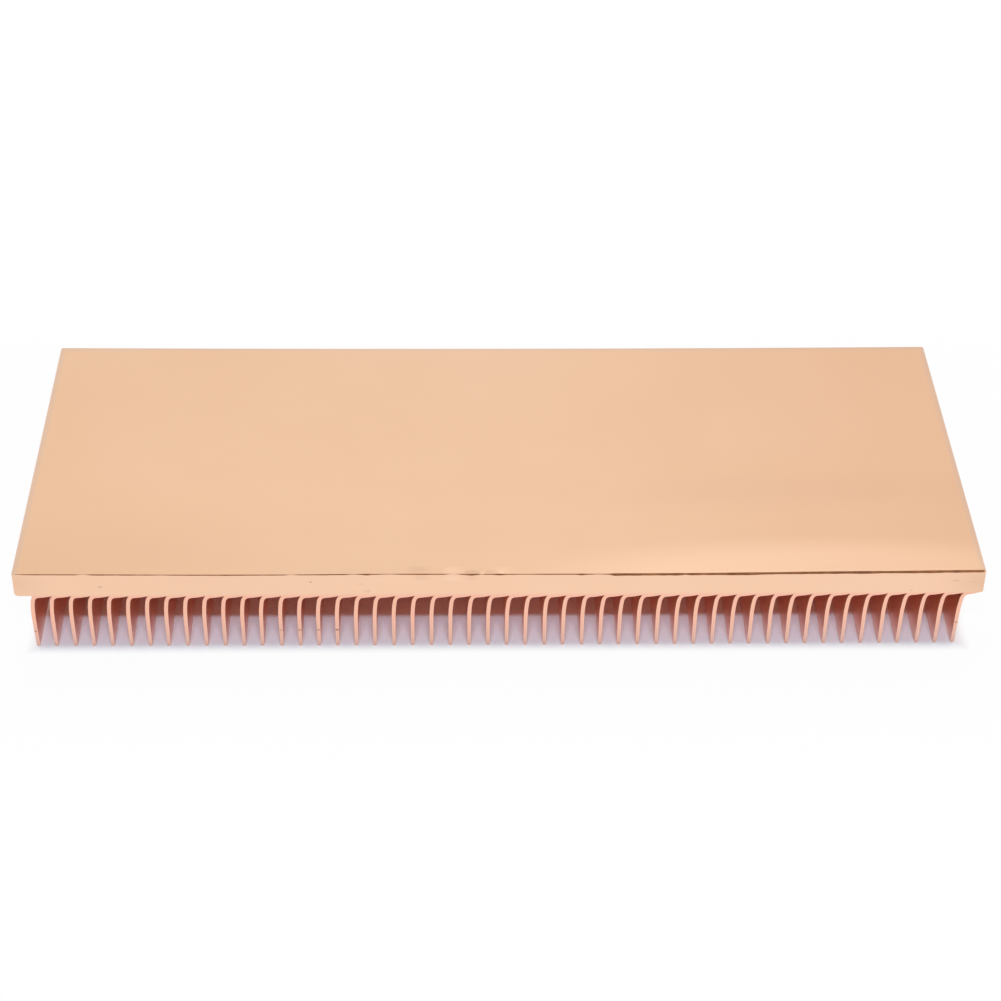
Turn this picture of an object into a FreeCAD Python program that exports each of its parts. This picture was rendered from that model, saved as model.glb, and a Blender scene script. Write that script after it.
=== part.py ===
import FreeCAD, Part
import math
import os

# Skived copper heat sink, one piece, standing on its fin tips with its flat face up.
# A blade has peeled the fins one by one out of a solid plate, starting at the right
# end, and has bent each chip upright. So every fin is joined to the base by a hooked
# root, with a fillet on its right and a sharp corner on its left, and the floor of
# each channel climbs from the fillet to the next sharp corner.
# Millimetres. X runs along the row of fins, Y along each fin, Z up from the tips.

# Driving dimensions: the plate
plate_length = 150.0
plate_depth = 62.0
base_thickness = 4.3
corner_round = 0.2
edge_break = 0.15
land_corner_round = 0.35

# Driving dimensions: the row of fins. The rounding of a tip's corners is limited to a
# share of the tip's thickness.
fin_pitch = 2.94
fin_height = 10.1
fin_thickness = 0.62
fin_tip_thickness = 0.54
tip_round = 0.2
tip_round_limit = 0.45
least_land = 2.5

# Driving dimensions: the hooked root, with leans and slopes in degrees
root_bend_radius = 2.63
root_lean = 36.0
lower_bend_radius = 23.6
lower_lean = 7.6
root_fillet = 0.65

# Driving dimensions: the floor of a channel and the end where the blade went in
channel_rise = 0.37
floor_slope = 4.0
entry_strip = 0.1
entry_rise = 0.2
entry_slope = 10.0

# Sizes that follow from them
total_height = base_thickness + fin_height
half_length = plate_length / 2
half_depth = plate_depth / 2
fin_count = int((plate_length - entry_strip - least_land) / fin_pitch)
first_corner_x = half_length - entry_strip - fin_count * fin_pitch


def from_centre(radius, lean):
    """The way from the centre of a bend to the point where the fin leans by this much."""
    angle = math.radians(lean)
    return FreeCAD.Vector(-radius * math.cos(angle), 0, radius * math.sin(angle))


def bend(centre, radius, first_lean, last_lean):
    """A round stretch of a fin's side between two leans."""
    middle_lean = (first_lean + last_lean) / 2
    leans = (first_lean, middle_lean, last_lean)
    start, middle, end = [centre + from_centre(radius, lean) for lean in leans]
    return Part.Arc(start, middle, end).toShape()


def line(start, end):
    return Part.LineSegment(start, end).toShape()


def quarter_round(start, corner, end):
    """The quarter arc that rounds a square corner off between two points beside it."""
    centre = start + end - corner
    out = (corner - centre).normalize()
    return Part.Arc(start, centre + out * (start - centre).Length, end).toShape()


def fin_outline(slope):
    """One fin seen from the front, with its sharp corner at the origin.

    The edges go from the sharp corner down the left side, round the tip, up the right
    side and through the fillet, which ends on a floor with this slope. The second
    result is the point where the fillet ends.
    """
    fin_inset = (fin_thickness - fin_tip_thickness) / 2
    tip_corner_round = min(tip_round, tip_round_limit * fin_tip_thickness)

    # Both sides of the fin bend about the same two centres, one thickness apart
    root_centre = -from_centre(root_bend_radius, root_lean)
    bend_change = root_centre + from_centre(root_bend_radius, lower_lean)
    lower_centre = bend_change - from_centre(lower_bend_radius, lower_lean)
    inner_root_radius = root_bend_radius - fin_thickness
    inner_lower_radius = lower_bend_radius - fin_thickness

    left_straight_top = lower_centre + from_centre(lower_bend_radius, 0)
    right_straight_top = lower_centre + from_centre(inner_lower_radius, 0)
    tip_left = FreeCAD.Vector(left_straight_top.x + fin_inset, 0, -fin_height)
    tip_right = FreeCAD.Vector(right_straight_top.x - fin_inset, 0, -fin_height)
    up = FreeCAD.Vector(0, 0, tip_corner_round)
    inward = FreeCAD.Vector(tip_corner_round, 0, 0)

    # The fillet touches the inner root bend and ends on the lowest line of the floor
    fillet_end_lean = 90 - slope
    fillet_lift = root_fillet * math.sin(math.radians(fillet_end_lean))
    lean_sine = (-root_centre.z - channel_rise - fillet_lift) / (inner_root_radius - root_fillet)
    fillet_start_lean = math.degrees(math.asin(lean_sine))
    fillet_start = root_centre + from_centre(inner_root_radius, fillet_start_lean)
    fillet_centre = fillet_start - from_centre(root_fillet, fillet_start_lean)
    floor_start = fillet_centre + from_centre(root_fillet, fillet_end_lean)

    edges = [
        bend(root_centre, root_bend_radius, root_lean, lower_lean),
        bend(lower_centre, lower_bend_radius, lower_lean, 0),
        line(left_straight_top, tip_left + up),
        quarter_round(tip_left + up, tip_left, tip_left + inward),
        line(tip_left + inward, tip_right - inward),
        quarter_round(tip_right - inward, tip_right, tip_right + up),
        line(tip_right + up, right_straight_top),
        bend(lower_centre, inner_lower_radius, 0, lower_lean),
        bend(root_centre, inner_root_radius, lower_lean, fillet_start_lean),
        bend(fillet_centre, root_fillet, fillet_start_lean, fillet_end_lean),
    ]
    return edges, floor_start


def channel_floor(start, end, slope):
    """The climbing floor: an arc that leaves the fillet at this slope."""
    chord = end - start
    chord_slope = math.atan2(chord.z, chord.x)
    half_turn = chord_slope - math.radians(slope)
    bulge = chord.Length / 2 * math.tan(half_turn / 2)
    outward = FreeCAD.Vector(math.sin(chord_slope), 0, -math.cos(chord_slope))
    middle = start + chord * 0.5 + outward * bulge
    return Part.Arc(start, middle, end).toShape()


def front_outline():
    """The closed outline of the whole heat sink, seen from the front."""
    edges = []
    for index in range(fin_count):
        corner = FreeCAD.Vector(first_corner_x + index * fin_pitch, 0, fin_height)
        next_corner = corner + FreeCAD.Vector(fin_pitch, 0, 0)
        slope = floor_slope
        if index == fin_count - 1:
            next_corner = FreeCAD.Vector(half_length, 0, fin_height + entry_rise)
            slope = entry_slope
        fin_edges, floor_start = fin_outline(slope)
        for edge in fin_edges:
            edges.append(edge.translated(corner))
        edges.append(channel_floor(corner + floor_start, next_corner, slope))

    right_top = FreeCAD.Vector(half_length, 0, total_height)
    left_top = FreeCAD.Vector(-half_length, 0, total_height)
    left_bottom = FreeCAD.Vector(-half_length, 0, fin_height)
    round_top = left_bottom + FreeCAD.Vector(0, 0, land_corner_round)
    round_end = left_bottom + FreeCAD.Vector(land_corner_round, 0, 0)
    edges.append(line(next_corner, right_top))
    edges.append(line(right_top, left_top))
    edges.append(line(left_top, round_top))
    edges.append(quarter_round(round_top, left_bottom, round_end))
    edges.append(line(round_end, FreeCAD.Vector(first_corner_x, 0, fin_height)))
    return Part.Wire(edges)


def plan_blank():
    """The plate's outline from above, with round corners and a broken top edge."""
    corner = FreeCAD.Vector(-half_length, -half_depth, 0)
    blank = Part.makeBox(plate_length, plate_depth, total_height, corner)
    upright_edges = [edge for edge in blank.Edges if edge.BoundBox.ZLength > base_thickness]
    blank = blank.makeFillet(corner_round, upright_edges)
    top_edges = [edge for edge in blank.Edges if edge.BoundBox.ZMin > fin_height]
    return blank.makeChamfer(edge_break, top_edges)


def skived_heat_sink():
    """The front outline carried through the depth of the plate, then cut to its plan."""
    face = Part.Face(front_outline())
    face.translate(FreeCAD.Vector(0, -half_depth, 0))
    row = face.extrude(FreeCAD.Vector(0, plate_depth, 0))
    return row.common(plan_blank())


os.makedirs("parts", exist_ok=True)
skived_heat_sink().exportStep("parts/skived_heat_sink.step")
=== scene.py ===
import math
import random

import bmesh
import bpy
from mathutils import Matrix, Vector
from mathutils.geometry import delaunay_2d_cdt


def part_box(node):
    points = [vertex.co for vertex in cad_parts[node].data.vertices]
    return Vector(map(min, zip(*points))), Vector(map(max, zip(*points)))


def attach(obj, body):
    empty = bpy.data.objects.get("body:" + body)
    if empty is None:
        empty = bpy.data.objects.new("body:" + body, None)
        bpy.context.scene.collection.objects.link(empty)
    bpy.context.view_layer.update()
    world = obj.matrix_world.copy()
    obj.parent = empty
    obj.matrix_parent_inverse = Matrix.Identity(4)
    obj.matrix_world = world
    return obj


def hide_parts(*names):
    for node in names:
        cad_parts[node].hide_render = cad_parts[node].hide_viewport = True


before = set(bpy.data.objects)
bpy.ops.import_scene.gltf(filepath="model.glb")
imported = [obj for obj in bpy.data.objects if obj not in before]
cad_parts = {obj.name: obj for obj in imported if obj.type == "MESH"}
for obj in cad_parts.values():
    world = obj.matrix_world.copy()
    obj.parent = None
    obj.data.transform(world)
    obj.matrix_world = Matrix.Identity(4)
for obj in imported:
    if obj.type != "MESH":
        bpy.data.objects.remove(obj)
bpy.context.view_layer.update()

# A skived copper heat sink standing on its fin tips, flat face up, on a white floor.
# Metres throughout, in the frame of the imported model: X along the row of fins, Y along
# each fin from the front to the back, Z up from the fin tips. Leans are in degrees.
MM = 0.001
NODE = "skived_heat_sink"
_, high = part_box(NODE)
HALF_LENGTH = high.x
HALF_DEPTH = high.y
TOP = high.z

# The row of fins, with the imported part's own sizes
FIN_PITCH = 2.94 * MM
FIN_HEIGHT = 10.1 * MM
FIN_THICKNESS = 0.62 * MM
FIN_TIP_THICKNESS = 0.54 * MM
TIP_ROUND = 0.2 * MM
FIRST_CORNER_X = -72.1 * MM
FIN_COUNT = 50
ROOT_BEND_RADIUS = 2.63 * MM
ROOT_LEAN = 36.0
LOWER_BEND_RADIUS = 23.6 * MM
LOWER_LEAN = 7.6
ROOT_FILLET = 0.65 * MM
CHANNEL_RISE = 0.37 * MM
FLOOR_SLOPE = 4.0
ENTRY_RISE = 0.2 * MM
ENTRY_SLOPE = 10.0

# The plate's edges. The left front corner is rounder than the other three, and the
# borders of the front and back faces are slightly round.
END_BREAK = 0.15 * MM
BACK_BREAK = END_BREAK / 2
CORNER_ROUND = 0.2 * MM
FRONT_LEFT_ROUND = 0.4 * MM
LAND_ROUND = 0.35 * MM
FRONT_ROUND = 0.02 * MM

# How far from an end its round corners start to draw the outline in, and the length
# over which they come to do so fully
CORNER_FADE_START = 1.5 * MM
CORNER_FADE_LENGTH = MM

# How many steps each stretch of the outline is drawn with
ROOT_STEPS = 5
LOWER_STEPS = 3
TIP_STEPS = 3
INNER_STEPS = 3
FILLET_STEPS = 6
FLOOR_STEPS = 5
LAND_STEPS = 5
TOP_STEPS = 300

# The height of a quarter circle over its chord, as a share of its radius
QUARTER_BULGE = 1 - math.sqrt(0.5)

# The outline's points above this height are on the flat face
ON_TOP_FROM = TOP - 0.5 * END_BREAK

# Distances from the front or back face at which the outline is repeated. The first two
# steps carry the broken edge.
SECTION_DEPTHS = [value * MM for value in (
    0, 0.007, 0.02, 0.1, 0.2, 0.32, 0.5, 0.8, 1.2, 1.8, 2.8, 4.5, 7, 11, 16, 21, 26)]
BREAK_SECTIONS = 2

# What the cutting and handling left: a bow of the plate and fins that differ a little.
# Leans, waves and shortfalls are full at the tip. The higher their power, the closer to
# the tip they set in.
SEED = 7
BOW = 0.27 * MM
FIN_LEAN_SPREAD = 0.045 * MM
FIN_WAVE = 0.03 * MM
FIN_WAVE_LENGTH = 45 * MM
FIN_SHORTFALL = 0.02 * MM
LEAN_POWER = 1.5
SHORTFALL_POWER = 4

# Fins that lean more than the rest, and by how much at the tip, towards +X
LEANING_FINS = (
    (0, 0.25 * MM),
    (1, 0.10 * MM),
    (2, 0.16 * MM),
    (3, 0.14 * MM),
    (4, 0.12 * MM),
    (5, 0.10 * MM),
    (17, 0.08 * MM),
    (33, 0.08 * MM),
    (43, 0.09 * MM),
    (49, -0.15 * MM),
)

# The broken edge at the front of the flat face. It is low up to one point and high from
# there to the right end, and it goes back by a share of its height.
LOW_BREAK = 0.15 * MM
HIGH_BREAK = 0.365 * MM
LEAST_BREAK = 0.006 * MM
RISES_AT = 17.0 * MM
RISE_LENGTH = 0.5 * MM
BREAK_SLOPE = 0.4

# How far in the sections that the break has moved are back in their own places
BREAK_ROOM = MM

# What makes the edge ragged: a height that takes random steps and is pulled back to 1
JITTER_STEP = 0.09
JITTER_PULL = 0.3
JITTER_LEAST = 0.6
JITTER_MOST = 1.4

# Where the broken edge is higher or lower than that: the middle along X, half the
# length, and the share that it adds to the height
BREAK_CHANGES = (
    (-75.0 * MM, 3.0 * MM, -0.5),
    (-75.2 * MM, 0.9 * MM, -0.8),
    (-64.0 * MM, 1.5 * MM, -0.8),
    (-61.8 * MM, 1.2 * MM, 0.2),
    (-52.0 * MM, 2.5 * MM, -0.25),
    (-43.0 * MM, 6.0 * MM, 0.15),
    (-32.2 * MM, 1.5 * MM, -0.75),
    (-22.7 * MM, 1.4 * MM, -0.6),
    (-20.6 * MM, 0.9 * MM, 0.6),
    (-17.4 * MM, 2.4 * MM, -0.45),
    (-12.6 * MM, 2.0 * MM, 0.4),
    (-7.4 * MM, 1.7 * MM, -0.95),
    (-4.6 * MM, 1.5 * MM, 0.5),
    (-2.9 * MM, 0.5 * MM, -0.7),
    (-0.3 * MM, 1.2 * MM, 0.8),
    (3.5 * MM, 3.0 * MM, -0.2),
    (12.4 * MM, 1.0 * MM, 0.8),
    (15.0 * MM, 2.0 * MM, -0.4),
    (28.4 * MM, 0.9 * MM, -0.35),
    (38.0 * MM, 6.0 * MM, 0.15),
)

# Dents beside that edge, in the flat face and in the front face: the middle along X,
# half the length, the reach away from the edge, and the height, below 0 for a hollow
TOP_DENTS = (
    # Long, shallow rises and falls along the edge
    (-45 * MM, 22 * MM, 2.5 * MM, -0.05 * MM),
    (-16 * MM, 18 * MM, 2.5 * MM, 0.09 * MM),
    (26 * MM, 24 * MM, 2.5 * MM, -0.05 * MM),
    (50 * MM, 14 * MM, 4.0 * MM, 0.07 * MM),
    (74 * MM, 28 * MM, 4.0 * MM, 0.13 * MM),
    # The raised metal beside the ding, and the ding
    (-7.4 * MM, 1.6 * MM, 0.8 * MM, 0.04 * MM),
    (-4.8 * MM, 1.9 * MM, 0.8 * MM, -0.04 * MM),
)
FRONT_DENTS = (
    (-12.4 * MM, 2.6 * MM, 0.9 * MM, -0.05 * MM),
    (-4.6 * MM, 1.6 * MM, 0.5 * MM, -0.04 * MM),
)

# Points inside the front face that carry its dents, in millimetres: the first along X,
# the step to the next, how many there are, and the distances below the flat face
GRID_START = -15.4
GRID_STEP = 0.35
GRID_COLUMNS = 46
GRID_DEPTHS = (0.3, 0.5, 0.8, 1.2, 1.7, 2.4)

# How the caps are filled: triangles inside the outline only, and the distance, in
# millimetres, under which two points count as one
FILL_INSIDE = 1
SAME_POINT = 1e-7

# Edges that turn by more than this stay sharp
SHARP_ANGLE = math.radians(25)

# The numbers of the piece's second and third material. All other faces keep the first,
# the milled copper.
SKIVED = 1
WORN = 2


def from_centre(radius, lean):
    """The way (x, z) from the centre of a bend to where the fin leans by this much."""
    angle = math.radians(lean)
    return Vector((-radius * math.cos(angle), radius * math.sin(angle)))


def bend(centre, radius, first_lean, last_lean, steps):
    """Points along a round stretch of a fin's side, without its last point."""
    leans = [first_lean + (last_lean - first_lean) * k / steps for k in range(steps)]
    return [centre + from_centre(radius, lean) for lean in leans]


def arc_between(start, end, bulge, steps):
    """Points along an arc with this height over its chord, without its last point."""
    chord = end - start
    outward = Vector((chord.y, -chord.x)).normalized()
    half = chord.length / 2
    radius = (half * half + bulge * bulge) / (2 * bulge)
    centre = start + chord / 2 + outward * (bulge - radius)
    half_turn = math.asin(half / radius)
    points = []
    for k in range(steps):
        angle = half_turn * (2 * k / steps - 1)
        along = chord.normalized() * radius * math.sin(angle)
        points.append(centre + along + outward * radius * math.cos(angle))
    return points


def fin_points(slope):
    """One fin from its sharp corner, at the origin, round to where its fillet ends on
    a floor with this slope. The second result is that end."""
    root_centre = -from_centre(ROOT_BEND_RADIUS, ROOT_LEAN)
    bend_change = root_centre + from_centre(ROOT_BEND_RADIUS, LOWER_LEAN)
    lower_centre = bend_change - from_centre(LOWER_BEND_RADIUS, LOWER_LEAN)
    inner_root = ROOT_BEND_RADIUS - FIN_THICKNESS
    inner_lower = LOWER_BEND_RADIUS - FIN_THICKNESS
    left_top = lower_centre + from_centre(LOWER_BEND_RADIUS, 0)
    right_top = lower_centre + from_centre(inner_lower, 0)
    inset = (FIN_THICKNESS - FIN_TIP_THICKNESS) / 2
    tip_left = Vector((left_top.x + inset, -FIN_HEIGHT))
    tip_right = Vector((right_top.x - inset, -FIN_HEIGHT))
    up = Vector((0, TIP_ROUND))
    inward = Vector((TIP_ROUND, 0))
    corner_bulge = TIP_ROUND * QUARTER_BULGE

    end_lean = 90 - slope
    lift = ROOT_FILLET * math.sin(math.radians(end_lean))
    lean_sine = (-root_centre.y - CHANNEL_RISE - lift) / (inner_root - ROOT_FILLET)
    start_lean = math.degrees(math.asin(lean_sine))
    fillet_start = root_centre + from_centre(inner_root, start_lean)
    fillet_centre = fillet_start - from_centre(ROOT_FILLET, start_lean)
    floor_start = fillet_centre + from_centre(ROOT_FILLET, end_lean)

    points = bend(root_centre, ROOT_BEND_RADIUS, ROOT_LEAN, LOWER_LEAN, ROOT_STEPS)
    points += bend(lower_centre, LOWER_BEND_RADIUS, LOWER_LEAN, 0, LOWER_STEPS)
    points += [left_top, left_top.lerp(tip_left + up, 0.5)]
    points += arc_between(tip_left + up, tip_left + inward, corner_bulge, TIP_STEPS)
    points += arc_between(tip_right - inward, tip_right + up, corner_bulge, TIP_STEPS)
    points += [tip_right + up, right_top.lerp(tip_right + up, 0.5)]
    points += bend(lower_centre, inner_lower, 0, LOWER_LEAN, INNER_STEPS)
    points += bend(root_centre, inner_root, LOWER_LEAN, start_lean, INNER_STEPS)
    points += bend(fillet_centre, ROOT_FILLET, start_lean, end_lean, FILLET_STEPS)
    return points, floor_start


def channel_floor(start, end, slope):
    """The climbing floor of a channel: an arc that leaves the fillet at this slope."""
    chord = end - start
    half_turn = math.atan2(chord.y, chord.x) - math.radians(slope)
    bulge = chord.length / 2 * math.tan(half_turn / 2)
    return arc_between(start, end, bulge, FLOOR_STEPS)


def outline_points():
    """The outline seen from the front, left to right along the fins, then back over the
    top. Each entry is a point, the index of its fin or None, and whether the blade has
    cut the face that starts there."""
    left_bottom = Vector((-HALF_LENGTH, FIN_HEIGHT))
    round_start = left_bottom + Vector((0, LAND_ROUND))
    round_end = left_bottom + Vector((LAND_ROUND, 0))
    land_bulge = LAND_ROUND * QUARTER_BULGE
    entries = [(Vector((-HALF_LENGTH, TOP - END_BREAK)), None, False)]
    for point in arc_between(round_start, round_end, land_bulge, LAND_STEPS):
        entries.append((point, None, False))
    entries.append((round_end, None, False))
    for index in range(FIN_COUNT):
        corner = Vector((FIRST_CORNER_X + index * FIN_PITCH, FIN_HEIGHT))
        following = corner + Vector((FIN_PITCH, 0))
        slope = FLOOR_SLOPE
        if index == FIN_COUNT - 1:
            following = Vector((HALF_LENGTH, FIN_HEIGHT + ENTRY_RISE))
            slope = ENTRY_SLOPE
        fin, floor_start = fin_points(slope)
        entries += [(corner + point, index, True) for point in fin]
        floor = channel_floor(corner + floor_start, following, slope)
        entries += [(point, None, True) for point in floor]
    entries.append((following, None, False))
    entries.append((Vector((HALF_LENGTH, TOP - END_BREAK)), None, False))
    inner = HALF_LENGTH - END_BREAK
    for k in range(TOP_STEPS + 1):
        point = Vector((inner * (1 - 2 * k / TOP_STEPS), TOP))
        entries.append((point, None, False))
    return entries


def outline_normals(outline):
    """The way out of the outline at each of its points."""
    normals = []
    for k in range(len(outline)):
        before, _, _ = outline[k - 1]
        after, _, _ = outline[(k + 1) % len(outline)]
        along = (after - before).normalized()
        normals.append(Vector((along.y, -along.x)))
    return normals


def outline_sections():
    """The repeats of the outline from front to back: how far each is from the nearer
    face, and which face that is, -1 for the front, 1 for the back, 0 for neither."""
    sections = [(depth, -1) for depth in SECTION_DEPTHS] + [(HALF_DEPTH, 0)]
    return sections + [(depth, 1) for depth in reversed(SECTION_DEPTHS)]


def fin_scatter(generator):
    """How each fin differs: its lean, the size and the phase of its wave, and how much
    shorter it is."""
    leans = [generator.gauss(0, FIN_LEAN_SPREAD) for _ in range(FIN_COUNT)]
    for index, lean in LEANING_FINS:
        leans[index] += lean
    waves = [generator.gauss(0, FIN_WAVE) for _ in range(FIN_COUNT)]
    phases = [generator.uniform(0, 2 * math.pi) for _ in range(FIN_COUNT)]
    shortfalls = [generator.uniform(0, FIN_SHORTFALL) for _ in range(FIN_COUNT)]
    return list(zip(leans, waves, phases, shortfalls))


def edge_jitters(generator, count):
    """The shares of its height that the broken edge has along the outline."""
    jitters = []
    level = 1.0
    for _ in range(count):
        step = generator.uniform(-JITTER_STEP, JITTER_STEP)
        level += (1 - level) * JITTER_PULL + step
        jitters.append(min(max(level, JITTER_LEAST), JITTER_MOST))
    return jitters


def smooth_step(value):
    value = min(max(value, 0.0), 1.0)
    return value * value * (3 - 2 * value)


def hump(offset):
    """1 in the middle, falling smoothly to 0 at plus and minus 1."""
    return smooth_step(1 - abs(offset))


def front_break(x, jitter):
    """The height of the broken edge at this X."""
    rise = smooth_step((x - RISES_AT) / RISE_LENGTH + 0.5)
    size = LOW_BREAK + (HIGH_BREAK - LOW_BREAK) * rise
    for middle, half_length, share in BREAK_CHANGES:
        size *= 1 + share * hump((x - middle) / half_length)
    return max(size * jitter, LEAST_BREAK)


def inside_break(depth, share, width):
    """Moves the sections near the edge inwards, so that the break has room."""
    if share < 1:
        return width * share
    return max(depth, width + (depth - FRONT_ROUND) * (1 - width / BREAK_ROOM))


def dent_height(dents, x, away):
    """How high the dents lift the surface, at this X and distance from the edge."""
    height = 0.0
    for middle, half_length, reach, amount in dents:
        height += amount * hump((x - middle) / half_length) * math.exp(-away / reach)
    return height


def corner_shift(depth, radius):
    """How far a side moves in, at this depth, where its border is rounded."""
    reach = max(radius - depth, 0)
    return radius - math.sqrt(radius ** 2 - reach ** 2)


def broken_top(x, z, jitter, depth, side):
    """The Y and Z of a point of the flat face, with the broken edge and the dents."""
    y = side * (HALF_DEPTH - depth)
    if side:
        size = front_break(x, jitter) if side < 0 else BACK_BREAK
        share = min(SECTION_DEPTHS.index(depth) / BREAK_SECTIONS, 1)
        z -= size * (1 - share)
        y = side * (HALF_DEPTH - inside_break(depth, share, BREAK_SLOPE * size))
    if side < 0:
        z += dent_height(TOP_DENTS, x, depth)
    return y, z


def swayed_fin(x, y, z, scatter):
    """The X and Z of a fin's point, with the fin's own lean, wave and length."""
    lean, wave, phase, shortfall = scatter
    reach = max(FIN_HEIGHT - z, 0) / FIN_HEIGHT
    sway = wave * math.sin(phase + 2 * math.pi * y / FIN_WAVE_LENGTH)
    x += (lean + sway) * reach ** LEAN_POWER
    z += shortfall * reach ** SHORTFALL_POWER
    return x, z


def section_points(outline, normals, jitters, fins, depth, side):
    """The outline's points at one distance from the front or back face."""
    inset = corner_shift(depth, FRONT_ROUND)
    right_shift = corner_shift(depth, CORNER_ROUND)
    left_shift = corner_shift(depth, FRONT_LEFT_ROUND if side < 0 else CORNER_ROUND)
    points = []
    for k, (point, fin, _) in enumerate(outline):
        x, z = point
        y = side * (HALF_DEPTH - depth)
        if z > ON_TOP_FROM:
            y, z = broken_top(x, z, jitters[k], depth, side)
        else:
            x -= normals[k].x * inset
            z -= normals[k].y * inset
        if fin is not None:
            x, z = swayed_fin(x, y, z, fins[fin])
        past_start = abs(x) - HALF_LENGTH + CORNER_FADE_START
        near_end = smooth_step(past_start / CORNER_FADE_LENGTH)
        x += left_shift * near_end if x < 0 else -right_shift * near_end
        z += BOW * (x / HALF_LENGTH) ** 2
        points.append((x, y, z))
    return points


def side_faces(section_count, count):
    """The faces between each section and the next."""
    faces = []
    for section in range(section_count - 1):
        for k in range(count):
            a = section * count + k
            b = section * count + (k + 1) % count
            faces.append((a, b, b + count, a + count))
    return faces


def cap_faces(outline, inner):
    """Triangles that fill the outline, whose numbers run on into the inner points."""
    points = [point / MM for point in outline + inner]
    loop = [(k, (k + 1) % len(outline)) for k in range(len(outline))]
    filled = delaunay_2d_cdt(points, loop, [], FILL_INSIDE, SAME_POINT)
    numbers = [origins[0] for origins in filled[3]]
    return [tuple(numbers[k] for k in face) for face in filled[2]]


def front_face_grid():
    """Points (x, z) inside the front face, below its top edge."""
    points = []
    for step in range(GRID_COLUMNS):
        for below in GRID_DEPTHS:
            x = GRID_START * MM + step * GRID_STEP * MM
            points.append(Vector((x, TOP - below * MM)))
    return points


def dress_faces(mesh, outline, side_count):
    """Gives each face its material and marks the sharp edges. The side faces come
    first, section by section, and the caps after them."""
    count = len(outline)
    shape = bmesh.new()
    shape.from_mesh(mesh)
    shape.faces.ensure_lookup_table()
    caps = set(shape.faces[side_count:])
    for face in shape.faces:
        face.smooth = True
    for index, (point, _, cut) in enumerate(outline):
        following, _, _ = outline[(index + 1) % count]
        if cut:
            for number in range(index, side_count, count):
                shape.faces[number].material_index = SKIVED
        if min(point.y, following.y) > ON_TOP_FROM:
            for section in range(BREAK_SECTIONS):
                shape.faces[index + section * count].material_index = WORN
    bmesh.ops.recalc_face_normals(shape, faces=shape.faces)
    for edge in shape.edges:
        capped = sum(face in caps for face in edge.link_faces) == 1
        turned = edge.is_manifold and edge.calc_face_angle() > SHARP_ANGLE
        edge.smooth = not (capped or turned)
    shape.to_mesh(mesh)
    shape.free()


def build_heat_sink():
    """The whole part as one closed mesh: the outline repeated through the depth, with
    round front and back borders, a broken top edge, and fins that differ a little."""
    generator = random.Random(SEED)
    fins = fin_scatter(generator)
    outline = outline_points()
    count = len(outline)
    jitters = edge_jitters(generator, count)
    normals = outline_normals(outline)
    sections = outline_sections()
    vertices = []
    for depth, side in sections:
        vertices += section_points(outline, normals, jitters, fins, depth, side)
    faces = side_faces(len(sections), count)
    side_count = len(faces)

    front_loop = [Vector((x, z)) for x, y, z in vertices[:count]]
    back_loop = [Vector((x, z)) for x, y, z in vertices[-count:]]
    last = len(vertices) - count
    grid = front_face_grid()
    first_grid = len(vertices)
    for x, z in grid:
        y = -HALF_DEPTH - dent_height(FRONT_DENTS, x, TOP - z - LOW_BREAK)
        vertices.append((x, max(y, -HALF_DEPTH), z))
    for face in cap_faces(front_loop, grid):
        faces.append(tuple(k if k < count else k - count + first_grid for k in face))
    for face in cap_faces(back_loop, []):
        faces.append(tuple(last + k for k in face))

    mesh = bpy.data.meshes.new("heat_sink")
    mesh.from_pydata(vertices, [], faces)
    dress_faces(mesh, outline, side_count)
    piece = bpy.data.objects.new("heat_sink", mesh)
    bpy.context.scene.collection.objects.link(piece)
    return piece


# The copper's tones, as pairs between which a soft noise drifts: the flat face, the
# front and back faces, the fins' front edges at the top and at the tips, the sides that
# the blade has cut, and the worn edge, whose dark brown is partly painted shade
FLAT_TONES = ((0.885, 0.575, 0.382), (0.903, 0.593, 0.400))
FRONT_TONES = ((0.942, 0.613, 0.423), (0.960, 0.631, 0.441))
FIN_TONES = ((0.965, 0.524, 0.388), (0.985, 0.542, 0.404))
# The tips' tone is darker: painted shade from the floor below them
TIP_SHADE_TONES = ((0.765, 0.468, 0.392), (0.785, 0.484, 0.408))
SKIVED_TONES = ((0.900, 0.598, 0.443), (0.920, 0.618, 0.463))
WORN_EDGE_SHADE_TONES = ((0.21, 0.086, 0.038), (0.38, 0.163, 0.074))

# The tones of the painted highlights, of the painted shade and the specks, and of the
# painted shade along the flat face's other edges, and how strong the last is
PAINTED_HIGHLIGHT_TONE = (1.0, 0.675, 0.472)
SHADE_AND_SPECK_TONE = (0.22, 0.10, 0.05)
RIM_SHADE_TONE = (0.60, 0.55, 0.54)
RIM_SHADE_STRENGTH = 0.3

# The noises: the scale, and the stretch of the grains, which are long where it is small
CLOUD_NOISE = (45, (1, 1, 1))
MILLED_NOISE = (900, (0.04, 1, 1))
SKIVED_NOISE = (1400, (0.05, 1, 0.05))
WORN_NOISE = (700, (1, 0.3, 0.3))
NOISE_DETAIL = 3
NOISE_RANGE = (0.3, 0.7)

# Roughness and relief. The cut sides reflect a little less green at a grazing angle.
MILLED_ROUGHNESS = (0.25, 0.27)
SKIVED_ROUGHNESS = (0.40, 0.48)
WORN_ROUGHNESS = 0.4
MILLED_RELIEF = 0.0002 * MM
SKIVED_RELIEF = 0.0015 * MM
SKIVED_GRAZING_TINT = (1.0, 0.88, 1.0, 1)

# Where one tone gives way to the next: how far from the flat face's edges its rim of
# painted shade goes, how high up that rim is, and the heights and the depth at which the
# fronts change
RIM_FADE = (0.3 * MM, 1.2 * MM)
RIM_HEIGHTS = (TOP - 0.4 * MM, TOP - 0.2 * MM)
TIP_SHADE_HEIGHTS = (0.7 * FIN_HEIGHT, 0)
ROOT_HEIGHTS = (FIN_HEIGHT + 0.6 * MM, FIN_HEIGHT)
FACE_DEPTHS = (HALF_DEPTH - 0.1 * MM, HALF_DEPTH)
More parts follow.
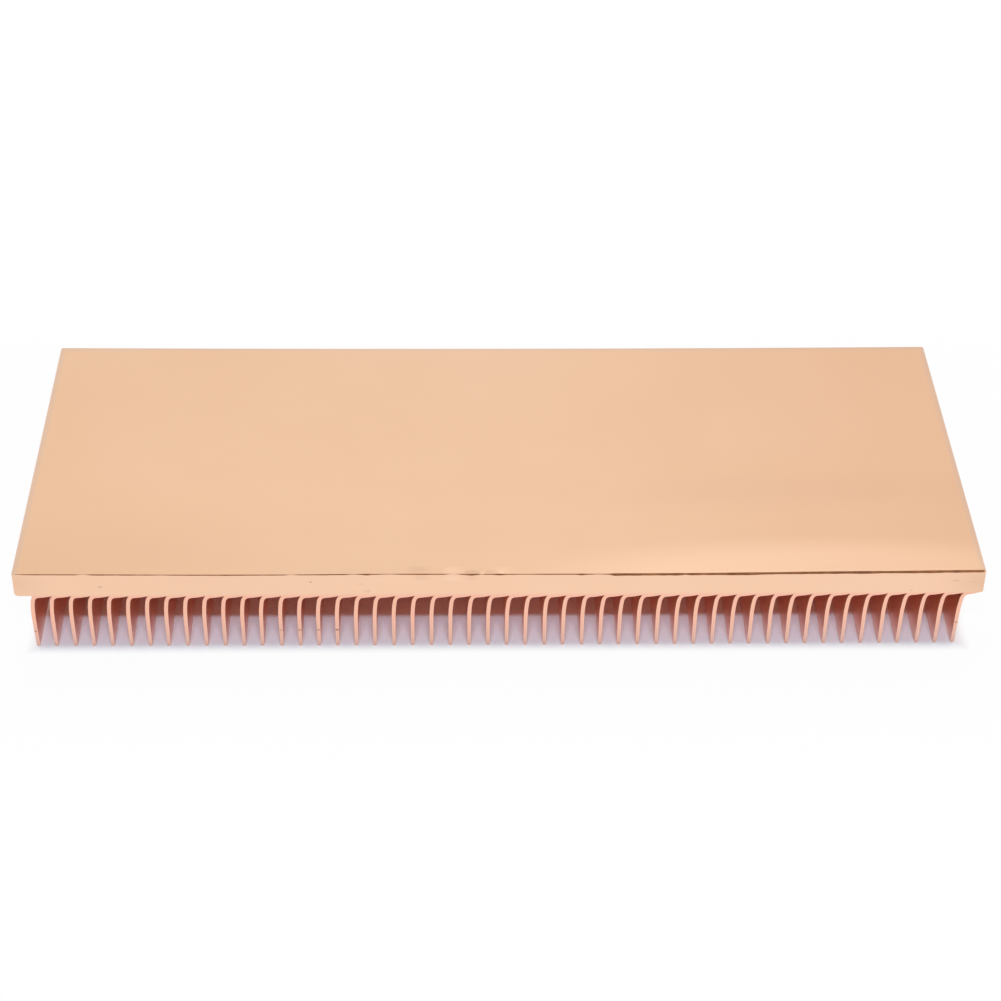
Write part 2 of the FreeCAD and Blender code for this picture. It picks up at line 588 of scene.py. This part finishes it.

# Painted highlights and painted shade on the flat face and on the front, with real
# specks and scratches on the front: the middle, the half sizes, the share of them that
# has the full strength, and that strength
TOP_PAINTED_HIGHLIGHTS = (
    # A painted highlight: the pale band at the front of the right half
    ((50 * MM, -31 * MM, TOP), (52 * MM, 10 * MM, 3 * MM), 0.4, 1.0),
    # Painted highlights: pale patches on either side of the ding
    ((-7.4 * MM, -30.2 * MM, TOP), (2.2 * MM, 1.6 * MM, MM), 0.3, 0.55),
    ((0.2 * MM, -30 * MM, TOP), (2.5 * MM, 1.3 * MM, MM), 0.3, 0.4),
    # Painted glints on the ding's rim
    ((-2.8 * MM, -30.8 * MM, TOP), (0.45 * MM, 0.5 * MM, MM), 0.3, 0.9),
    ((0.1 * MM, -30.6 * MM, TOP), (0.5 * MM, 0.7 * MM, MM), 0.3, 0.9),
)
TOP_PAINTED_SHADES = (
    # Faint painted shade: at the left front, across the right half and left of middle
    ((-72 * MM, -31 * MM, TOP), (85 * MM, 22 * MM, 3 * MM), 0.0, 0.055),
    ((50 * MM, -10 * MM, TOP), (55 * MM, 7 * MM, 3 * MM), 0.0, 0.035),
    ((-20 * MM, -22 * MM, TOP), (50 * MM, 7 * MM, 3 * MM), 0.0, 0.02),
    # Painted shade in the shallow dent and in the two parts of the ding
    ((-12.8 * MM, -30 * MM, TOP), (2.8 * MM, 1.6 * MM, MM), 0.2, 0.09),
    ((-4.5 * MM, -31 * MM, TOP), (1.8 * MM, 1.35 * MM, MM), 0.45, 0.18),
    ((-1.4 * MM, -30.6 * MM, TOP), (1.4 * MM, 1.0 * MM, MM), 0.4, 0.09),
)
FRONT_PAINTED_HIGHLIGHTS = (
    # Painted highlights: a pale patch between the dent and the ding, and one under a
    # speck
    ((-7.6 * MM, -31 * MM, 13.6 * MM), (2 * MM, 0.3 * MM, 0.8 * MM), 0.3, 0.5),
    ((-29.2 * MM, -31 * MM, 12.3 * MM), (0.3 * MM, 0.3 * MM, 0.5 * MM), 0.4, 0.25),
)
FRONT_SPECKS_AND_PAINTED_SHADES = (
    # Painted shade at the left and right ends
    ((-77 * MM, -31 * MM, 12.5 * MM), (10 * MM, 2 * MM, 5 * MM), 0.0, 0.11),
    ((77 * MM, -31 * MM, 12.5 * MM), (10 * MM, 2 * MM, 5 * MM), 0.0, 0.17),
    # Painted shade below the dent and below the ding
    ((-12.1 * MM, -31 * MM, 13.7 * MM), (2 * MM, 0.3 * MM, 0.6 * MM), 0.3, 0.07),
    ((-4.6 * MM, -31 * MM, 13.7 * MM), (1.2 * MM, 0.3 * MM, 0.5 * MM), 0.3, 0.08),
    # Specks, smudges and short scratches
    ((-61.6 * MM, -31 * MM, 12.1 * MM), (0.45 * MM, 0.3 * MM, 0.26 * MM), 0.4, 0.23),
    ((-29.3 * MM, -31 * MM, 12.95 * MM), (0.3 * MM, 0.3 * MM, 0.22 * MM), 0.4, 0.36),
    ((-20.5 * MM, -31 * MM, 11.1 * MM), (0.8 * MM, 0.3 * MM, 0.5 * MM), 0.2, 0.10),
    ((-21.6 * MM, -31 * MM, 12.5 * MM), (0.7 * MM, 0.3 * MM, 0.2 * MM), 0.4, 0.08),
    ((63.7 * MM, -31 * MM, 10.95 * MM), (0.4 * MM, 0.3 * MM, 0.3 * MM), 0.4, 0.10),
    ((70.4 * MM, -31 * MM, 12.8 * MM), (0.9 * MM, 0.3 * MM, 0.16 * MM), 0.4, 0.24),
    ((73.2 * MM, -31 * MM, 12.5 * MM), (0.9 * MM, 0.3 * MM, 0.16 * MM), 0.4, 0.2),
)

# Small nicks across the front edges of some fins: the fin, the height and the strength.
# That edge lies a little to the left of the fin's sharp corner.
NICKS = (
    (0, 3.2 * MM, 0.55),
    (13, 3.3 * MM, 0.35),
    (14, 3.3 * MM, 0.6),
    (15, 3.3 * MM, 0.5),
    (16, 3.3 * MM, 0.85),
    (49, 4.4 * MM, 0.45),
)
NICK_INSET = 0.4 * MM
NICK_HALF_SIZES = (0.5 * MM, 0.5 * MM, 0.2 * MM)
NICK_CORE = 0.4


def fin_nicks():
    """The marks for the nicks."""
    marks = []
    for index, height, strength in NICKS:
        x = FIRST_CORNER_X + index * FIN_PITCH - NICK_INSET
        marks.append(((x, -HALF_DEPTH, height), NICK_HALF_SIZES, NICK_CORE, strength))
    return tuple(marks)


def new_material(name):
    """A material without nodes, and its node tree."""
    material = bpy.data.materials.new(name)
    material.use_nodes = True
    material.node_tree.nodes.clear()
    return material, material.node_tree


def add_math(tree, operation, first, second):
    """A maths node; its result is returned. An input is a socket or a number."""
    node = tree.nodes.new("ShaderNodeMath")
    node.operation = operation
    for socket, value in zip(node.inputs, (first, second)):
        if isinstance(value, (int, float)):
            socket.default_value = value
        else:
            tree.links.new(value, socket)
    return node.outputs["Value"]


def add_size(tree, value):
    """A number without its sign."""
    return add_math(tree, "ABSOLUTE", value, 0)


def add_map(tree, value, source, target):
    """A number mapped smoothly from one range to another, never past its ends."""
    node = tree.nodes.new("ShaderNodeMapRange")
    node.interpolation_type = "SMOOTHSTEP"
    node.inputs["From Min"].default_value = source[0]
    node.inputs["From Max"].default_value = source[1]
    node.inputs["To Min"].default_value = target[0]
    node.inputs["To Max"].default_value = target[1]
    tree.links.new(value, node.inputs["Value"])
    return node.outputs["Result"]


def add_vector_math(tree, operation, vector, other=None):
    """A vector maths node, whose second input is a fixed vector."""
    node = tree.nodes.new("ShaderNodeVectorMath")
    node.operation = operation
    tree.links.new(vector, node.inputs[0])
    if other:
        node.inputs[1].default_value = other
    return node


def object_place(tree):
    """The place on the object."""
    return tree.nodes.new("ShaderNodeTexCoord").outputs["Object"]


def split_vector(tree, vector):
    """A vector's X, Y and Z."""
    node = tree.nodes.new("ShaderNodeSeparateXYZ")
    tree.links.new(vector, node.inputs["Vector"])
    return node.outputs["X"], node.outputs["Y"], node.outputs["Z"]


def set_ramp(node, stops):
    """Gives a colour ramp these stops, each a position and a colour."""
    ramp = node.color_ramp
    while len(ramp.elements) < len(stops):
        ramp.elements.new(1.0)
    for element, (position, colour) in zip(ramp.elements, stops):
        element.position = position
        element.color = (*colour, 1)


def add_ramp(tree, factor, stops):
    """A colour that follows a number through these stops."""
    node = tree.nodes.new("ShaderNodeValToRGB")
    set_ramp(node, stops)
    tree.links.new(factor, node.inputs["Fac"])
    return node.outputs["Color"]


def two_tones(tree, factor, tones):
    """A colour that drifts between two close tones."""
    return add_ramp(tree, factor, tuple(zip(NOISE_RANGE, tones)))


def mix_colours(tree, factor, first, second):
    """One colour turned into another by a factor. The second may be fixed."""
    mix = tree.nodes.new("ShaderNodeMix")
    mix.data_type = "RGBA"
    tree.links.new(factor, mix.inputs["Factor"])
    tree.links.new(first, mix.inputs["A"])
    if isinstance(second, tuple):
        mix.inputs["B"].default_value = (*second, 1)
    else:
        tree.links.new(second, mix.inputs["B"])
    return mix.outputs["Result"]


def add_mark(tree, place, mark):
    """A soft-edged spot around a place on the part: a factor up to its strength."""
    middle, half_sizes, core, strength = mark
    away = add_vector_math(tree, "SUBTRACT", place, middle).outputs["Vector"]
    scaled = add_vector_math(tree, "DIVIDE", away, half_sizes).outputs["Vector"]
    length = add_vector_math(tree, "LENGTH", scaled).outputs["Value"]
    return add_map(tree, length, (1.0, core), (0, strength))


def add_painted_light_and_specks(tree, place, colour, painted_highlights, specks_and_shades):
    """The colour with painted highlights, and with painted shade and dull specks over
    them.
    """
    for mark in painted_highlights:
        spot = add_mark(tree, place, mark)
        colour = mix_colours(tree, spot, colour, PAINTED_HIGHLIGHT_TONE)
    darkness = 0.0
    for mark in specks_and_shades:
        spot = add_mark(tree, place, mark)
        darkness = add_math(tree, "MAXIMUM", spot, darkness)
    return mix_colours(tree, darkness, colour, SHADE_AND_SPECK_TONE)


def add_noise(tree, place, kind):
    """One of the noises above."""
    scale, stretch = kind
    mapping = tree.nodes.new("ShaderNodeMapping")
    mapping.inputs["Scale"].default_value = stretch
    tree.links.new(place, mapping.inputs["Vector"])
    noise = tree.nodes.new("ShaderNodeTexNoise")
    noise.inputs["Scale"].default_value = scale
    noise.inputs["Detail"].default_value = NOISE_DETAIL
    tree.links.new(mapping.outputs["Vector"], noise.inputs["Vector"])
    return noise.outputs["Fac"]


def add_bump(tree, shader, height, distance):
    """Relief on the surface, this deep where the height runs from 0 to 1."""
    bump = tree.nodes.new("ShaderNodeBump")
    bump.inputs["Distance"].default_value = distance
    tree.links.new(height, bump.inputs["Height"])
    tree.links.new(bump.outputs["Normal"], shader.inputs["Normal"])


def metal_shader(tree):
    """A bare metal shader on the material's output."""
    output = tree.nodes.new("ShaderNodeOutputMaterial")
    shader = tree.nodes.new("ShaderNodeBsdfPrincipled")
    shader.inputs["Metallic"].default_value = 1.0
    tree.links.new(shader.outputs["BSDF"], output.inputs["Surface"])
    return shader


def plate_rim_shade(tree, x, y, z):
    """Where painted shade greys the flat face: 1 along its left, right and back edges, 0
    away from them.
    """
    from_ends = add_math(tree, "SUBTRACT", HALF_LENGTH, add_size(tree, x))
    from_back = add_math(tree, "SUBTRACT", HALF_DEPTH, y)
    nearest = add_math(tree, "MINIMUM", from_ends, from_back)
    near = add_map(tree, nearest, RIM_FADE, (1, 0))
    high_up = add_map(tree, z, RIM_HEIGHTS, (0, 1))
    return add_math(tree, "MULTIPLY", near, high_up)


def flat_face_colour(tree, place, cloud, x, y, z):
    """The flat face, with its painted highlights and shade, and painted shade on its
    greyer edges.
    """
    colour = two_tones(tree, cloud, FLAT_TONES)
    colour = add_painted_light_and_specks(tree, place, colour, TOP_PAINTED_HIGHLIGHTS, TOP_PAINTED_SHADES)
    rim = add_math(tree, "MULTIPLY", plate_rim_shade(tree, x, y, z), RIM_SHADE_STRENGTH)
    return mix_colours(tree, rim, colour, RIM_SHADE_TONE)


def front_colour(tree, place, cloud, z):
    """The front and back faces, where the fins are pinker, and painted shade darkens
    their tips.
    """
    plate = two_tones(tree, cloud, FRONT_TONES)
    fins = two_tones(tree, cloud, FIN_TONES)
    tips = two_tones(tree, cloud, TIP_SHADE_TONES)
    fins = mix_colours(tree, add_map(tree, z, TIP_SHADE_HEIGHTS, (0, 1)), fins, tips)
    colour = mix_colours(tree, add_map(tree, z, ROOT_HEIGHTS, (0, 1)), plate, fins)
    specks_and_shades = FRONT_SPECKS_AND_PAINTED_SHADES + fin_nicks()
    return add_painted_light_and_specks(tree, place, colour, FRONT_PAINTED_HIGHLIGHTS, specks_and_shades)


def copper_material():
    """Copper as milled: the plate, and the front and back edges of the fins."""
    material, tree = new_material("copper")
    shader = metal_shader(tree)
    place = object_place(tree)
    x, y, z = split_vector(tree, place)
    cloud = add_noise(tree, place, CLOUD_NOISE)
    flat = flat_face_colour(tree, place, cloud, x, y, z)
    front = front_colour(tree, place, cloud, z)
    front_share = add_map(tree, add_size(tree, y), FACE_DEPTHS, (0, 1))
    colour = mix_colours(tree, front_share, flat, front)
    tree.links.new(colour, shader.inputs["Base Color"])
    grain = add_noise(tree, place, MILLED_NOISE)
    rough = add_map(tree, grain, NOISE_RANGE, MILLED_ROUGHNESS)
    tree.links.new(rough, shader.inputs["Roughness"])
    add_bump(tree, shader, grain, MILLED_RELIEF)
    return material


def skived_material():
    """Copper as the blade leaves it, with fine streaks along its way: from the root of
    each fin to the tip."""
    material, tree = new_material("skived_copper")
    shader = metal_shader(tree)
    shader.inputs["Specular Tint"].default_value = SKIVED_GRAZING_TINT
    place = object_place(tree)
    colour = two_tones(tree, add_noise(tree, place, CLOUD_NOISE), SKIVED_TONES)
    tree.links.new(colour, shader.inputs["Base Color"])
    streaks = add_noise(tree, place, SKIVED_NOISE)
    rough = add_map(tree, streaks, NOISE_RANGE, SKIVED_ROUGHNESS)
    tree.links.new(rough, shader.inputs["Roughness"])
    add_bump(tree, shader, streaks, SKIVED_RELIEF)
    return material


def worn_shaded_edge_material():
    """The broken edge at the front of the flat face: ragged and rougher, its dark brown
    partly worn metal and partly painted shade.
    """
    material, tree = new_material("worn_shaded_edge")
    shader = metal_shader(tree)
    shader.inputs["Roughness"].default_value = WORN_ROUGHNESS
    grain = add_noise(tree, object_place(tree), WORN_NOISE)
    colour = two_tones(tree, grain, WORN_EDGE_SHADE_TONES)
    tree.links.new(colour, shader.inputs["Base Color"])
    return material


def seen_rays(tree):
    """1 for what is seen, directly, in a gloss or through a glass, and 0 for light."""
    rays = tree.nodes.new("ShaderNodeLightPath").outputs
    seen = add_math(tree, "MAXIMUM", rays["Is Camera Ray"], rays["Is Glossy Ray"])
    return add_math(tree, "MAXIMUM", seen, rays["Is Transmission Ray"])


# The floor, and how much of what is seen of it is plain white: the distances from the
# row of fins between which each share grows, below 0 inside it, and the shares. The row
# ends a little inside the plate's ends.
FLOOR_HALF = 12.0
FLOOR_COLOUR = (0.93, 0.93, 0.93, 1)
NEAR_DISTANCES = (-1 * MM, 2 * MM)
# The first near share, under the part, is a faint painted glow on the floor between the
# fins
NEAR_SHARES = (0.015, 0.95)
FAR_DISTANCES = (4 * MM, 40 * MM)
FAR_SHARES = (0, 0.05)
FIN_ROW_INSET = 2.5 * MM


def white_share(tree):
    """How much of the floor is plain white, by the distance from the part, with a faint
    painted glow under it.
    """
    x, y, _ = split_vector(tree, object_place(tree))
    row_end = HALF_LENGTH - FIN_ROW_INSET
    past_ends = add_math(tree, "SUBTRACT", add_size(tree, x), row_end)
    past_faces = add_math(tree, "SUBTRACT", add_size(tree, y), HALF_DEPTH)
    away = add_math(tree, "MAXIMUM", past_ends, past_faces)
    near = add_map(tree, away, NEAR_DISTANCES, NEAR_SHARES)
    far = add_map(tree, away, FAR_DISTANCES, FAR_SHARES)
    return add_math(tree, "ADD", near, far)


def floor_material():
    """White, with the part's shadow. Away from the part, what the camera and the copper
    see of it turns to plain white; under the part a faint share of it is a painted glow."""
    material, tree = new_material("white_floor")
    output = tree.nodes.new("ShaderNodeOutputMaterial")
    paint = tree.nodes.new("ShaderNodeBsdfDiffuse")
    paint.inputs["Color"].default_value = FLOOR_COLOUR
    white = tree.nodes.new("ShaderNodeEmission")
    both = tree.nodes.new("ShaderNodeMixShader")
    tree.links.new(paint.outputs["BSDF"], both.inputs[1])
    tree.links.new(white.outputs["Emission"], both.inputs[2])
    tree.links.new(both.outputs["Shader"], output.inputs["Surface"])
    share = add_math(tree, "MULTIPLY", white_share(tree), seen_rays(tree))
    tree.links.new(share, both.inputs["Fac"])
    return material


def build_floor():
    """A wide white floor, which is stage and no part of the object."""
    half = FLOOR_HALF
    mesh = bpy.data.meshes.new("floor")
    corners = [(-half, -half, 0), (half, -half, 0), (half, half, 0), (-half, half, 0)]
    mesh.from_pydata(corners, [], [(0, 1, 2, 3)])
    floor = bpy.data.objects.new("floor", mesh)
    bpy.context.scene.collection.objects.link(floor)
    mesh.materials.append(floor_material())


# The narrow lamp over the front: its elevation in degrees, distance, size, radiance and
# tint
LAMP_ELEVATION = 52.3
LAMP_DISTANCE = 0.9
LAMP_WIDTH = 0.3
LAMP_HEIGHT = 0.05
LAMP_RADIANCE = 96
LAMP_TINT = (0.65, 0.77, 0.98)

# The studio by height, which is 0 at the horizon and 1 straight up, and by side, from 0
# on the left to 1 on the right. The two are multiplied.
WALL_STOPS = (
    (0.40, (0.945, 0.945, 0.935)),
    (0.55, (0.96, 0.96, 0.95)),
    (0.60, (1.005, 1.005, 0.99)),
    (0.74, (1.14, 1.14, 1.13)),
    (0.80, (0.80, 0.80, 0.80)),
    (1.00, (0.95, 0.94, 0.93)),
)
SIDE_STOPS = (
    (0.0, (0.55, 0.51, 0.47)),
    (0.38, (0.93, 0.89, 0.84)),
    (0.48, (1.0, 1.0, 1.0)),
    (0.52, (1.0, 1.0, 1.0)),
    (0.62, (0.91, 0.83, 0.77)),
    (1.0, (0.50, 0.44, 0.40)),
)

# Near the horizon the studio is seen as plain white: not at all at the first height and
# fully at the second. Between the two directions along Y, the light that it sends falls
# to a share of what it shows, which is the least at the front.
WHITE = (1.0, 1.0, 1.0)
HORIZON_HEIGHTS = (0.35, 0.15)
FRONT_DIRECTIONS = (0.0, -0.5)
FRONT_LIGHT = (1.0, 0.15)

# How often light is followed from surface to surface between the fins
MAX_BOUNCES = 16
GLOSSY_BOUNCES = 14
DIFFUSE_BOUNCES = 4


def add_front_lamp():
    """A flat lamp that faces the part and lights the floor between the fins. Its own
    mirror image would burn out the flat face, so it isn't seen in a gloss."""
    angle = math.radians(LAMP_ELEVATION)
    light = bpy.data.lights.new("front_softbox", "AREA")
    light.shape = "RECTANGLE"
    light.size = LAMP_WIDTH
    light.size_y = LAMP_HEIGHT
    light.energy = LAMP_RADIANCE * math.pi * LAMP_WIDTH * LAMP_HEIGHT
    light.color = LAMP_TINT
    lamp = bpy.data.objects.new("front_softbox", light)
    forward = -LAMP_DISTANCE * math.cos(angle)
    lamp.location = (0, forward, LAMP_DISTANCE * math.sin(angle))
    lamp.rotation_euler = (math.radians(90) - angle, 0, 0)
    lamp.visible_glossy = False
    bpy.context.scene.collection.objects.link(lamp)


def studio_colour(tree, x, z):
    """The walls by height, times the fall of the light towards the two sides."""
    wall = add_ramp(tree, z, WALL_STOPS)
    across = tree.nodes.new("ShaderNodeMapRange")
    across.inputs["From Min"].default_value = -1
    across.inputs["From Max"].default_value = 1
    tree.links.new(x, across.inputs["Value"])
    sides = add_ramp(tree, across.outputs["Result"], SIDE_STOPS)
    both = tree.nodes.new("ShaderNodeMix")
    both.data_type = "RGBA"
    both.blend_type = "MULTIPLY"
    both.inputs["Factor"].default_value = 1.0
    tree.links.new(wall, both.inputs["A"])
    tree.links.new(sides, both.inputs["B"])
    return both.outputs["Result"]


def build_world():
    """A white studio: bright walls under an even ceiling."""
    world = bpy.data.worlds.new("studio")
    bpy.context.scene.world = world
    world.use_nodes = True
    tree = world.node_tree
    tree.nodes.clear()
    output = tree.nodes.new("ShaderNodeOutputWorld")
    background = tree.nodes.new("ShaderNodeBackground")
    tree.links.new(background.outputs["Background"], output.inputs["Surface"])
    direction = tree.nodes.new("ShaderNodeTexCoord").outputs["Generated"]
    x, y, z = split_vector(tree, direction)
    seen = seen_rays(tree)
    horizon = add_map(tree, z, HORIZON_HEIGHTS, (0, 1))
    white = add_math(tree, "MULTIPLY", horizon, seen)
    colour = mix_colours(tree, white, studio_colour(tree, x, z), WHITE)
    tree.links.new(colour, background.inputs["Color"])
    towards_front = add_map(tree, y, FRONT_DIRECTIONS, FRONT_LIGHT)
    strength = add_math(tree, "MAXIMUM", towards_front, seen)
    tree.links.new(strength, background.inputs["Strength"])


def set_bounces():
    """Enough bounces for the copper to glow deep in the channels, and sharp ones."""
    cycles = bpy.context.scene.cycles
    cycles.max_bounces = MAX_BOUNCES
    cycles.glossy_bounces = GLOSSY_BOUNCES
    cycles.diffuse_bounces = DIFFUSE_BOUNCES
    cycles.blur_glossy = 0.0


# The camera, as fitted to the photo: millimetres and degrees
CAMERA_LENS = 87.07
CAMERA_SENSOR = 36
CAMERA_PLACE = Vector((-8.43, -319.2, 249.93))
CAMERA_TURN = -1.627
CAMERA_DROP = 37.503
CAMERA_ROLL = 0.830
CAMERA_CLIP = 10 * MM


def build_camera():
    """A camera in front of the part that looks down at it."""
    turn = Matrix.Rotation(math.radians(CAMERA_TURN), 4, "Z")
    tilt = Matrix.Rotation(math.radians(90 - CAMERA_DROP), 4, "X")
    roll = Matrix.Rotation(math.radians(CAMERA_ROLL), 4, "Z")
    data = bpy.data.cameras.new("camera")
    data.lens = CAMERA_LENS
    data.sensor_width = CAMERA_SENSOR
    data.clip_start = CAMERA_CLIP
    camera = bpy.data.objects.new("camera", data)
    camera.matrix_world = Matrix.Translation(CAMERA_PLACE * MM) @ turn @ tilt @ roll
    bpy.context.scene.collection.objects.link(camera)
    bpy.context.scene.camera = camera


heat_sink = build_heat_sink()
heat_sink.data.materials.append(copper_material())
heat_sink.data.materials.append(skived_material())
heat_sink.data.materials.append(worn_shaded_edge_material())
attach(heat_sink, "root")
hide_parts(NODE)
build_floor()
add_front_lamp()
build_world()
set_bounces()
build_camera()
bpy.context.scene.view_settings.view_transform = "Standard"
